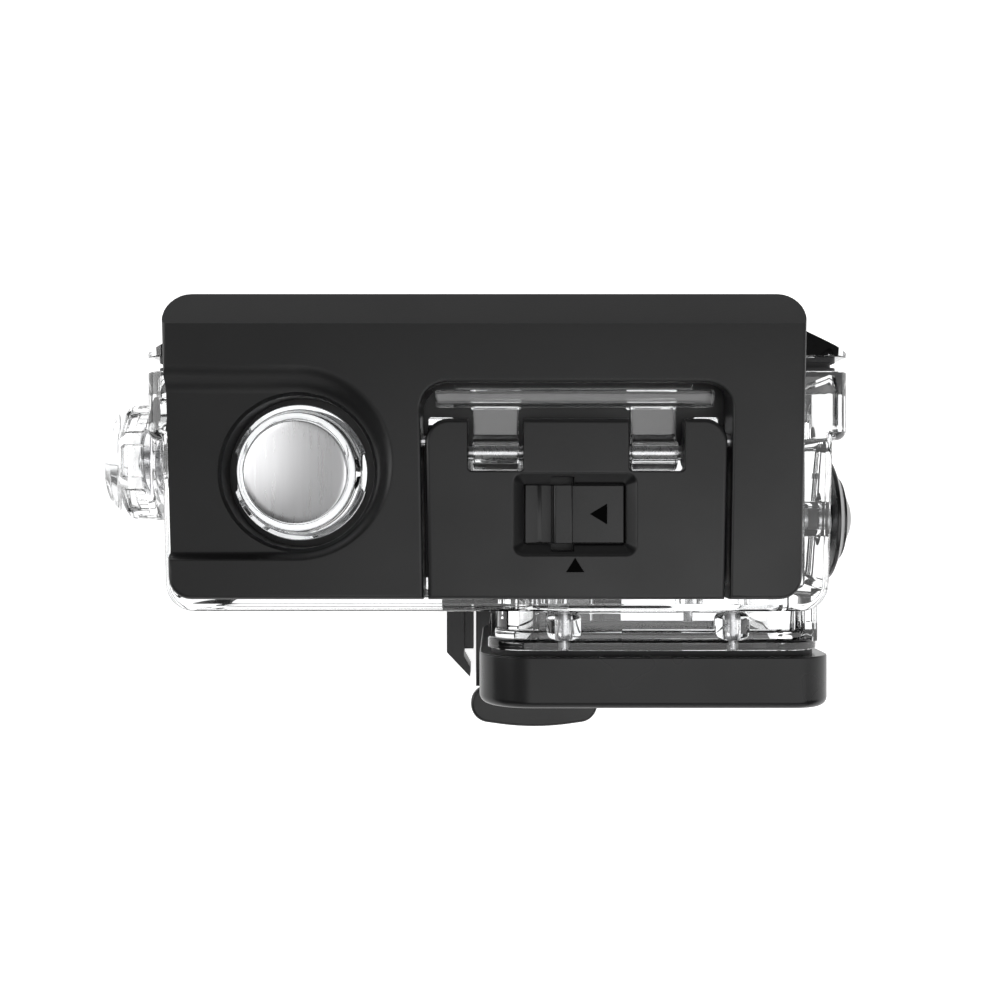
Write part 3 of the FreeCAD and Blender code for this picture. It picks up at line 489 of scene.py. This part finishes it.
def latch_flap():
    flap = slab("XY", latch_plan(0, 8.7), 51.8, COVER_TOP, [0, 0, 2.5, 2.5], (0.2, 0.5))
    x0, x1, y0, y1 = LOCK
    parts = [
        block(LATCH_X - 15.7, LATCH_X + 15.7, -10.5, -9.2, 48.2, 52.2, 0.0, (0.3, 0)),
        block(-1.6, 15.2, y0 - 1.6, y1 + 1.2, 50.1, 52.0, 0.8, (0.3, 0)),
    ]
    for arm in ARMS:
        for side in (-1, 1):
            inner = LATCH_X + arm + side * 3.1
            outer = inner + side * 1.6
            a, b = min(inner, outer), max(inner, outer)
            parts.append(rod((a, *HOOK_PIN), (b, *HOOK_PIN), 1.6, 0.2))
            parts.append(block(a, b, 3.6, 6.8, 50.2, 52.6))
    for side in (-1, 1):
        inner = LATCH_X + side * 11.7
        outer = LATCH_X + side * 15.9
        a, b = min(inner, outer), max(inner, outer)
        parts.append(rod((a, *LEVER_PIN), (b, *LEVER_PIN), 1.7, 0.2))
    flap = fuse(flap, *parts)

    tools = []
    for arm in ARMS:
        mid = LATCH_X + arm
        tools.append(slab("XY", rectangle(mid - 2.95, mid + 2.95, 3.1, 12.0), 47, COVER_TOP + 0.01,
                          [0.45, 0.45, 0, 0], (0.0, -0.22), steps=4))
    rim = offset(rectangle(x0, x1, y0, y1), 1.1)
    well = offset(rectangle(x0, x1, y0, y1), 0.12)
    loops = []
    for d, level in ((0.35, 54.02), (0.12, 53.9), (0.0, 53.75)):
        loops.append([(u, v, level) for u, v in rounded(offset(rim, d), [1.0 + d] * 4)])
    loops.append([(u, v, 52.75) for u, v in rounded(well, [0.35] * 4)])
    tools.append(loft(loops[::-1]))
    tools.append(block(x0 - 2.9, x1 + 0.12, y0 - 0.12, y1 + 0.12, 51.2, 52.76))
    tools.append(block(x0 + 1.3, x0 + 7.1, -2.65, -0.35, 49, 52))
    for y in (y0 - 0.85, y1 + 0.05):
        tools.append(block(5.45, 7.95, y, y + 0.8, 50.6, 53.6))
    tools.append(slab("XY", TRIANGLE_FLAP, COVER_TOP - 0.15, COVER_TOP + 1))
    tools.append(rod((-12, *HOOK_PIN), (28, *HOOK_PIN), 0.75, steps=32))
    tools.append(rod((-12, *LEVER_PIN), (28, *LEVER_PIN), 0.75, steps=32))
    flap = cut(flap, *tools)
    place(flap, "latch_flap", "latch", cover_black, "cover_black", "latch_lever")
    inlay = slab("XY", offset(TRIANGLE_FLAP, -0.03), COVER_TOP - 0.14, COVER_TOP - 0.02)
    place(inlay, "flap_mark", "latch", mark_black, "cover_black")


def lock_slide():
    x0, x1, y0, y1 = LOCK
    ridge = x0 + 2.9
    low = slab("XZ", [(x0, 51.3), (ridge + 0.6, 51.3), (ridge + 0.6, 52.1), (x0 + 1.6, 52.1),
                      (x0 + 0.1, 52.6), (x0, 52.5)], y0, y1, [0, 0, 0, 1.6, 0.1, 0.1],
               (0.12, 0.12), bends=2)
    flat = slab("XY", rectangle(ridge, x1, y0, y1), 51.3, 53.0, 0.15, (0.0, 0.18))
    grip = slab("XZ", [(ridge, 52.0), (ridge + 2.3, 52.0), (ridge + 2.2, 53.75),
                       (ridge + 0.15, 53.75)], y0, y1, [0, 0, 0.25, 0.35], (0.15, 0.15))
    stem = block(x0 + 4.0, x0 + 6.9, -2.5, -0.5, 49.4, 51.5)
    slide = fuse(low, flat, grip, stem)
    mark = slab("XY", TRIANGLE_SLIDE, 52.85, 54.0)
    slide = cut(slide, mark)
    place(slide, "lock_slide_button", "lock", slide_black, "slide_black", "lock_slider")
    inlay = slab("XY", offset(TRIANGLE_SLIDE, -0.03), 52.86, 52.98)
    place(inlay, "slide_mark", "lock", mark_black, "slide_black")


def hook_comb():
    """Clear comb of the latch: two knuckled arms, a cross bar and the hook plate."""
    link = slab("YZ", rectangle(10.2, 12.0, 48.2, 51.4), LATCH_X - 15.2, LATCH_X + 15.2, 0.5,
                (0.3, 0.3))
    parts = [
        slab("YZ", rectangle(11.0, 19.6, 48.2, 49.8), LATCH_X - 13.2, LATCH_X + 13.2, 0.4,
             (0.3, 0.3)),
        slab("YZ", rectangle(17.9, 19.6, 46.95, 49.0), LATCH_X - 13.19, LATCH_X + 13.19, 0.3,
             (0.3, 0.3)),
    ]
    for arm in ARMS:
        a, b = LATCH_X + arm - 2.5, LATCH_X + arm + 2.5
        parts.append(rod((a, *HOOK_PIN), (b, *HOOK_PIN), 2.0, 0.25, 64))
        parts.append(slab("YZ", rectangle(5.2, 10.8, 48.5, 50.5), a + 0.01, b - 0.01, 0.2,
                          (0.25, 0.25)))
    link = fuse(link, *parts)
    link = cut(link, rod((-12, *HOOK_PIN), (28, *HOOK_PIN), 0.8, steps=40))
    place(link, "hook_comb", "hook", clear_small, "clear_small", "hook_link")


latch_flap()
lock_slide()
hook_comb()


# --- push buttons ---------------------------------------------------------------------
BUTTON_AXES = {
    "shutter": ((-21.8, 3.0, 47.5), (0, 0, 1)),
    "left": ((-37.9, 4.5, 37.0), (-1, 0, 0)),
    "right": ((37.3, -2.2, 37.0), (1, 0, 0)),
}


def on_button(obj, side):
    return along(obj, *BUTTON_AXES[side])


def shutter_button():
    cap = turned([(0, 4.7), (4.9, 4.7), (4.9, 1.9), (7.4, 1.9), (7.4, 3.1), (6.75, 3.7),
                  (6.35, 5.8), (5.62, 5.8), (5.62, 5.2), (0, 5.2)],
                 [0, 0.2, 0.25, 0.35, 0.4, 0.5, 0.3, 0.1, 0.0, 0], 96)
    notches = [slab("XY", rectangle(x - 0.75, x + 0.75, -2.1, 2.1), 1.0, 5.0, 0.35, steps=3)
               for x in (-7.45, 7.45)]
    cap = cut(cap, *notches)
    place(on_button(cap, "shutter"), "shutter_ring", "shutter", clear_small, "clear_small",
          "shutter_cap")
    rings, dish = 10, 40.0
    outline = [(0.0, 5.2), (5.5, 5.2), (5.5, 6.38), (5.46, 6.47), (5.4, 6.5)]
    sink = dish - math.sqrt(dish ** 2 - 5.34 ** 2)
    for k in range(rings + 1):
        r = 5.34 * (1 - k / rings)
        outline.append((r, 6.47 - sink + dish - math.sqrt(dish ** 2 - r ** 2)))
    disc = turned(outline, [0.0] * len(outline), 96)
    place(on_button(disc, "shutter"), "shutter_face", "shutter", button_metal, "button_metal",
          "shutter_disc", smooth=30)


def left_button():
    knob = turned([(0, 4.7), (5.2, 4.7), (5.2, 1.9), (7.0, 1.9), (7.0, 4.6), (6.7, 5.8),
                   (6.1, 7.0), (5.2, 7.9), (4.0, 8.5), (2.4, 8.8), (0, 8.9)],
                  [0, 0.3, 0.3, 0.4, 0.8, 0.9, 0.9, 0.9, 1.2, 2.0, 0], 96)
    windows = []
    for k in range(8):
        window = slab("YZ", rectangle(-1.9, 1.9, 2.9, 5.6), 6.05, 8.2, 0.5, (0.3, 0.0))
        windows.append(moved(window, Matrix.Rotation(math.radians(45 * k), 4, "Z")))
    knob = cut(knob, *windows)
    place(on_button(knob, "left"), "left_knob", "left_button", clear_small, "clear_small",
          "left_button_cap")


def right_button():
    cap = turned([(0, 3.0), (4.9, 3.0), (4.9, 1.2), (7.25, 1.2), (7.25, 1.65), (1.95, 4.2),
                  (0, 4.2)], [0, 0.1, 0.1, 0.15, 0.2, 0.3, 0], 96)
    place(on_button(cap, "right"), "right_cone", "right_button", button_black, "button_black",
          "right_button_cap")


def button_spring(side, body, top):
    """Round-wire coil spring, carried with its button's body."""
    low, high = 0.375, top - 0.325
    turns, wire, radius, sides, steps = 3.5, 0.275, 3.8, 12, 160
    verts, faces = [], []
    for k in range(steps + 1):
        t = k / steps
        a = 2 * math.pi * turns * t
        height = low + (high - low) * t
        for s in range(sides):
            b = 2 * math.pi * s / sides
            r = radius + wire * math.cos(b)
            verts.append((r * math.cos(a), r * math.sin(a), height + wire * math.sin(b)))
    for k in range(steps):
        for s in range(sides):
            n = (s + 1) % sides
            faces.append([k * sides + s, k * sides + n, (k + 1) * sides + n, (k + 1) * sides + s])
    faces += [list(range(sides)), [steps * sides + s for s in range(sides)]]
    coil = on_button(solid(verts, faces), side)
    name = body + "_coil"
    place(coil, name, body, spring_steel, "spring_steel", body + "_spring")
    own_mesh(coil)


shutter_button()
left_button()
right_button()
button_spring("shutter", "shutter", 4.7)
button_spring("left", "left_button", 4.7)
button_spring("right", "right_button", 3.0)


# --- clear body -----------------------------------------------------------------------
PORT = (17.7, 26.0)
SCREW_MID = 16.9
FLANGE = rectangle(-39.8, 39.2, -2.0, 47.5)


def port_rods(radius, start, end, soft=0.0):
    return [rod((SCREW_MID + i * 9.6, start, PORT[1] + j * 17.8),
                (SCREW_MID + i * 9.6, end, PORT[1] + j * 17.8), radius, soft, 40)
            for i in (-1, 1) for j in (-1, 1)]


def knuckles(spans, front, rear):
    parts = []
    for a, b in spans:
        parts.append(rod((a, *HINGE), (b, *HINGE), 2.4, 0.3))
        parts.append(block(a + 0.02, b - 0.02, front, rear, -4.4, -1.2))
    return parts


def clear_shell():
    plan = [(-37.4, -12.5), (36.8, -12.5), (37.3, 6.7), (37.3, 14.4), (-37.9, 14.4), (-37.9, 6.7)]
    body = slab("XY", plan, 0, SHELL_TOP, [3.2, 3.2, 0, 0, 0, 0], (1.4, 1.0))
    flange = slab("XZ", FLANGE, 6.7, 14.4, [6, 6, 2.5, 2.5], (1.2, 0.15))
    plate = slab("XZ", square(*PORT, 19.1), -17.1, -15.8, 4.5, (0.1, 0.45))
    collar = slab("XZ", square(*PORT, 18.3), -15.82, -14.9, 4.2, (0.0, 0.3))
    tube = slab("XZ", rectangle(PORT[0] - 18.0, PORT[0] + 18.0, PORT[1] - 16.6, PORT[1] + 16.6),
                -16.2, -11.5, 4.0)
    cheek = slab("XZ", rectangle(PORT[0] + 16.4, 36.65, PORT[1] - 18.2, PORT[1] + 17.4),
                 -16.2, -8.8, 1.0)
    parts = [flange, plate, collar, tube, cheek] + port_rods(2.0, -16.0, -12.75, 0.9)
    for side, height in (("shutter", 2.5), ("left", 2.5), ("right", 1.4)):
        parts.append(on_button(turned([(0, -1.3), (3.1, -1.3), (3.1, height), (0, height)], 0.25,
                                      56), side))
        parts.append(on_button(turned([(0, -3.8), (4.0, -3.8), (4.0, -1.3), (0, -1.3)], 0.25,
                                      56), side))
    for side in (-1, 1):
        a, b = sorted((5.4 + side * 1.6, 5.4 + side * 4.6))
        parts.append(slab("YZ", [(-9.5, 0.5), (-7.4, -10.5), (7.4, -10.5), (9.5, 0.5)], a, b))
        parts.append(rod((a + 0.01, 0, BOLT_Z), (b - 0.01, 0, BOLT_Z), 7.5, 0.35, 80))
    parts += knuckles(((-26, -20), (-4, 4), (20, 26)), 12.8, 14.4)
    parts.append(block(7.0, 11.5, -9.05, -8.5, 47.0, 50.9, 0.15))
    parts.append(block(7.01, 11.49, -8.6, -8.15, 50.0, 50.89, 0.15))
    shell = fuse(body, *parts)

    bay = slab("XZ", rectangle(-35.3, 34.7, 2.5, 44.9), -10.1, 15.4, 2.5, (0.8, 0.0))
    keep = [on_button(turned([(0, -3.8), (4.0, -3.8), (4.0, -2.0), (0, -2.0)], 0.25, 56), side)
            for side in BUTTON_AXES]
    bay = cut(bay, *keep)
    tunnel = slab("XZ", rectangle(PORT[0] - 15.9, PORT[0] + 15.9, PORT[1] - 14.6,
                                  PORT[1] + 14.6), -18.1, -9.1, 3.0)
    knob_room = on_button(turned([(3.1, 0), (7.5, 0), (7.5, 6), (3.1, 6)], 0.0, 96), "left")
    shell = cut(shell, bay, tunnel, knob_room)
    holes = [on_button(rod((0, 0, -5), (0, 0, 6), 2.06), side) for side in BUTTON_AXES]
    holes += port_rods(0.65, -18.0, -13.4)
    holes.append(rod((-30, *HINGE), (30, *HINGE), 1.0, steps=32))
    holes.append(rod((-3, 0, BOLT_Z), (14, 0, BOLT_Z), 2.58))
    shell = cut(shell, *holes)
    place(shell, "clear_shell", "housing", clear_body, "clear_body", "front_shell")


def clear_door():
    door = slab("XZ", FLANGE, 16.0, 21.2, [6, 6, 2.5, 2.5], (0.15, 1.7))
    plug = slab("XZ", rectangle(-34.7, 34.1, 3.1, 44.3), 11.6, 16.5, 2.4, (0.4, 0.0))
    door = fuse(door, plug, *knuckles(((-19.7, -4.3), (4.3, 19.7)), 16.01, 17.6))
    pan = slab("XZ", rectangle(-32.1, 31.5, 5.7, 41.7), 10.6, 18.8, 2.0, (0.0, 0.6))
    land = block(-6.05, 22.35, 15.0, 22.2, 46.6, 48.5)
    groove = block(-6.05, 22.35, 17.6, 19.9, 45.3, 47.5)
    pin = rod((-30, *HINGE), (30, *HINGE), 1.05, steps=32)
    corners = [slab("XY", [(edge + side, 16.0), (edge + side, 22.2), (edge - side * 12.0, 22.2),
                           (edge, 16.4)], -4, 49) for edge, side in ((-39.8, -1), (39.2, 1))]
    door = cut(door, pan, land, groove, pin, *corners)
    place(door, "clear_door", "door", clear_body, "clear_body", "back_door")


clear_shell()
clear_door()


# --- lens port ------------------------------------------------------------------------
def port_bezel():
    bezel = slab("XZ", square(*PORT, 20.1), -23.6, -17.7, [6.0, 4.5, 4.5, 6.0], (1.0, 0.2), 10, 5)
    aperture = slab("XZ", square(*PORT, 14.4), -23.61, -21.0, 3.5, (-0.8, 0.0))
    seat = slab("XZ", square(*PORT, 16.7), -22.0, -17.0, 2.6)
    bezel = cut(bezel, aperture, seat, *port_rods(1.35, -24.6, -22.1),
                *port_rods(0.65, -23.0, -17.0))
    place(bezel, "port_bezel", "housing", bezel_black, "bezel_black", "lens_bezel")


port_bezel()


# --- quick-release foot ---------------------------------------------------------------
MOUNT_X = 5.4


def foot_buckle():
    left, right = MOUNT_X - 14.1, MOUNT_X + 14.1
    base = slab("XY", rectangle(left, right, -9.5, 12.0), FOOT_Z, -21.5, [0, 0, 3.0, 3.0],
                (0.35, 0.5))
    parts = []
    for side in (-1, 1):
        outer, inner, tip = (MOUNT_X + side * w for w in (14.1, 11.3, 10.3))
        parts.append(slab("XY", [(outer, 8.0), (outer, -24.9), (tip, -28.9), (tip, -27.3),
                                 (inner, -25.5), (inner, 8.0)], -25.5, -18.5,
                          [0, 0.6, 0, 0, 0, 0]))
        a, b = sorted((MOUNT_X + side * 9.8, MOUNT_X + side * 11.8))
        parts.append(block(a, b, -24.7, -8.5, -25.5, -22.0))
    parts.append(block(MOUNT_X - 9.2, MOUNT_X + 9.2, -9.2, 9.2, -23.5, -18.5, 1.0, (0, 0.3)))
    for index in (-1, 0, 1):
        a = MOUNT_X + index * 6.2 - 1.5
        parts.append(block(a, a + 3.0, -7.4, 7.4, -19.0, -10.5))
        parts.append(rod((a + 0.01, 0, BOLT_Z), (a + 2.99, 0, BOLT_Z), 7.5, 0.3, 80))
    parts.append(rod((MOUNT_X - 11.0, 0, BOLT_Z), (MOUNT_X - 6.2, 0, BOLT_Z), 6.2, 0.5, 64))
    buckle = fuse(base, *parts)
    grooves = []
    for side in (-1, 1):
        mid = MOUNT_X + side * 14.1
        grooves.append(block(mid - 1.2, mid + 1.2, -30, 13, -23.3, -20.9))
    corner = 4.05 / math.cos(math.radians(30))
    flats = [(corner * math.sin(math.radians(60 * k)),
              -10.5 + corner * math.cos(math.radians(60 * k))) for k in range(6)]
    nut = slab("YZ", flats, MOUNT_X - 12, MOUNT_X - 7.9)
    bolt = rod((MOUNT_X - 20, 0, BOLT_Z), (MOUNT_X + 20, 0, BOLT_Z), 2.58)
    buckle = cut(buckle, nut, bolt, *grooves)
    place(buckle, "foot_buckle", "foot", buckle_black, "buckle_black", "buckle")


def thumb_tongue():
    strip = block(MOUNT_X - 9.4, MOUNT_X + 9.4, -31.0, -9.5, -23.9, -22.4, 0.0, (0.2, 0.2))
    riser = slab("YZ", [(-29.5, -23.9), (-31.0, -23.9), (-33.6, -12.4), (-32.1, -12.4)],
                 MOUNT_X - 7.5, MOUNT_X + 7.5)
    outline = [(MOUNT_X - 10.0, -29.4), (MOUNT_X - 10.0, -34.8), (MOUNT_X, -36.2),
               (MOUNT_X + 10.0, -34.8), (MOUNT_X + 10.0, -29.4)]
    tab = slab("XY", outline, -13.2, -11.4, [2.6, 2.9, 40, 2.9, 2.6], (0.3, 0.55), 10)
    tongue = fuse(strip, riser, tab)
    place(tongue, "thumb_tab", "tongue", buckle_black, "buckle_black", "release_tongue")


def screw_knob():
    axis = BOLT_Z
    hub = rod((MOUNT_X + 8.0, 0, axis), (MOUNT_X + 11.2, 0, axis), 5.0, 0.4)
    grip = rod((MOUNT_X + 10.5, 0, axis), (MOUNT_X + 20.5, 0, axis), 7.4, 1.3, 96)
    knob = fuse(hub, grip)
    tools = []
    for k in range(8):
        a = math.radians(45 * k)
        y, z = 8.6 * math.cos(a), axis + 8.6 * math.sin(a)
        tools.append(rod((MOUNT_X + 12.0, y, z), (MOUNT_X + 24, y, z), 2.2, 0.8, 40))
    tools.append(rod((MOUNT_X + 7, 0, axis), (MOUNT_X + 12.6, 0, axis), 2.5))
    tools.append(block(MOUNT_X + 12.5, MOUNT_X + 17.0, -2.0, 2.0, axis - 2.0, axis + 2.0))
    knob = cut(knob, *tools)
    place(knob, "screw_knob", "screw", buckle_black, "buckle_black", "thumb_knob")


foot_buckle()
thumb_tongue()
screw_knob()


# --- CAD nodes that stay, each with a finish of its own -------------------------------
CARRIED = {
    "door_gasket": seal_rubber, "window_gasket": seal_rubber, "shutter_seal": seal_rubber,
    "left_button_seal": seal_rubber, "right_button_seal": seal_rubber,
    "lens_window": window_glass, "lens_light_shield": shield_black, "lock_tongue": slide_black,
    "door_hinge_pin": steel, "lever_pivot_pins": steel, "hook_pin": steel,
    "bezel_screws": steel, "captive_nut": steel, "thumb_bolt": steel,
    "shutter_stem": steel, "left_button_stem": steel, "right_button_stem": steel,
    "shutter_clip": spring_steel, "left_button_clip": spring_steel,
    "right_button_clip": spring_steel,
}
for node, material in CARRIED.items():
    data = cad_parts[node].data
    data.materials.clear()
    data.materials.append(material)


# --- floor, lights and camera ---------------------------------------------------------
def studio_floor():
    """Pale floor that glows faintly, so that clear plastic is seen against white."""
    mesh = bpy.data.meshes.new("studio_floor")
    half = 1.5
    mesh.from_pydata([(-half, -half, 0), (half, -half, 0), (half, half, 0), (-half, half, 0)],
                     [], [[0, 1, 2, 3]])
    floor = bpy.data.objects.new("studio_floor", mesh)
    scene.collection.objects.link(floor)
    material, tree, shader = nodes_of("pale_floor")
    shader.inputs["Base Color"].default_value = (0.86, 0.86, 0.86, 1)
    shader.inputs["Roughness"].default_value = 0.9
    shader.inputs["Emission Color"].default_value = (1, 1, 1, 1)
    shader.inputs["Emission Strength"].default_value = 0.88
    mesh.materials.append(material)


def softbox(name, place_at, size, energy, target=(0, 0, 0.06)):
    """Soft rectangular lamp, in metres and watts, aimed at a point."""
    light = bpy.data.lights.new(name, "AREA")
    light.shape = "RECTANGLE"
    light.size, light.size_y = size
    light.energy = energy
    lamp = bpy.data.objects.new(name, light)
    lamp.location = place_at
    aim = Vector(target) - Vector(place_at)
    lamp.rotation_mode = "QUATERNION"
    lamp.rotation_quaternion = aim.to_track_quat("-Z", "Y")
    scene.collection.objects.link(lamp)


studio_floor()
softbox("overhead", (0.235, -0.21, 0.62), (0.64, 0.58), 1.95, (0.235, -0.21, 0.0))
softbox("left_fill", (-0.42, 0.02, 0.62), (0.62, 0.70), 0.42, (-0.42, 0.02, 0.0))
softbox("rear_strip", (0.12, 0.62, 0.26), (1.10, 0.22), 0.45)
softbox("left_strip", (-0.60, 0.06, 0.34), (0.16, 0.60), 1.0)
softbox("right_strip", (0.62, -0.06, 0.30), (0.16, 0.60), 0.55)
softbox("front_strip", (0.02, -0.62, 0.24), (0.90, 0.16), 0.8)

world = bpy.data.worlds.new("studio")
world.use_nodes = True
world.node_tree.nodes["Background"].inputs["Color"].default_value = (1, 1, 1, 1)
dim = world.node_tree.nodes["Background"]
dim.inputs["Strength"].default_value = 0.05
pale = world.node_tree.nodes.new("ShaderNodeBackground")
pale.inputs["Color"].default_value = (0.93, 0.93, 0.93, 1)
seen = world.node_tree.nodes.new("ShaderNodeLightPath")
backdrop = world.node_tree.nodes.new("ShaderNodeMixShader")
world.node_tree.links.new(seen.outputs["Is Camera Ray"], backdrop.inputs[0])
world.node_tree.links.new(dim.outputs["Background"], backdrop.inputs[1])
world.node_tree.links.new(pale.outputs["Background"], backdrop.inputs[2])
world.node_tree.links.new(backdrop.outputs["Shader"],
                          world.node_tree.nodes["World Output"].inputs["Surface"])
scene.world = world
scene.view_settings.view_transform = "Standard"
scene.cycles.max_bounces = 24
scene.cycles.transmission_bounces = 20
scene.cycles.glossy_bounces = 6
scene.cycles.diffuse_bounces = 4
scene.cycles.transparent_max_bounces = 24
scene.cycles.caustics_refractive = True
scene.cycles.caustics_reflective = False
scene.cycles.sample_clamp_indirect = 6.0

camera = bpy.data.cameras.new("camera")
camera.lens, camera.sensor_width = 45.7, 36.0
camera.clip_start = 0.005
viewer = bpy.data.objects.new("camera", camera)
viewer.location = (Vector((0, 0, 189.0)) - ORIGIN) * MM
scene.collection.objects.link(viewer)
scene.camera = viewer
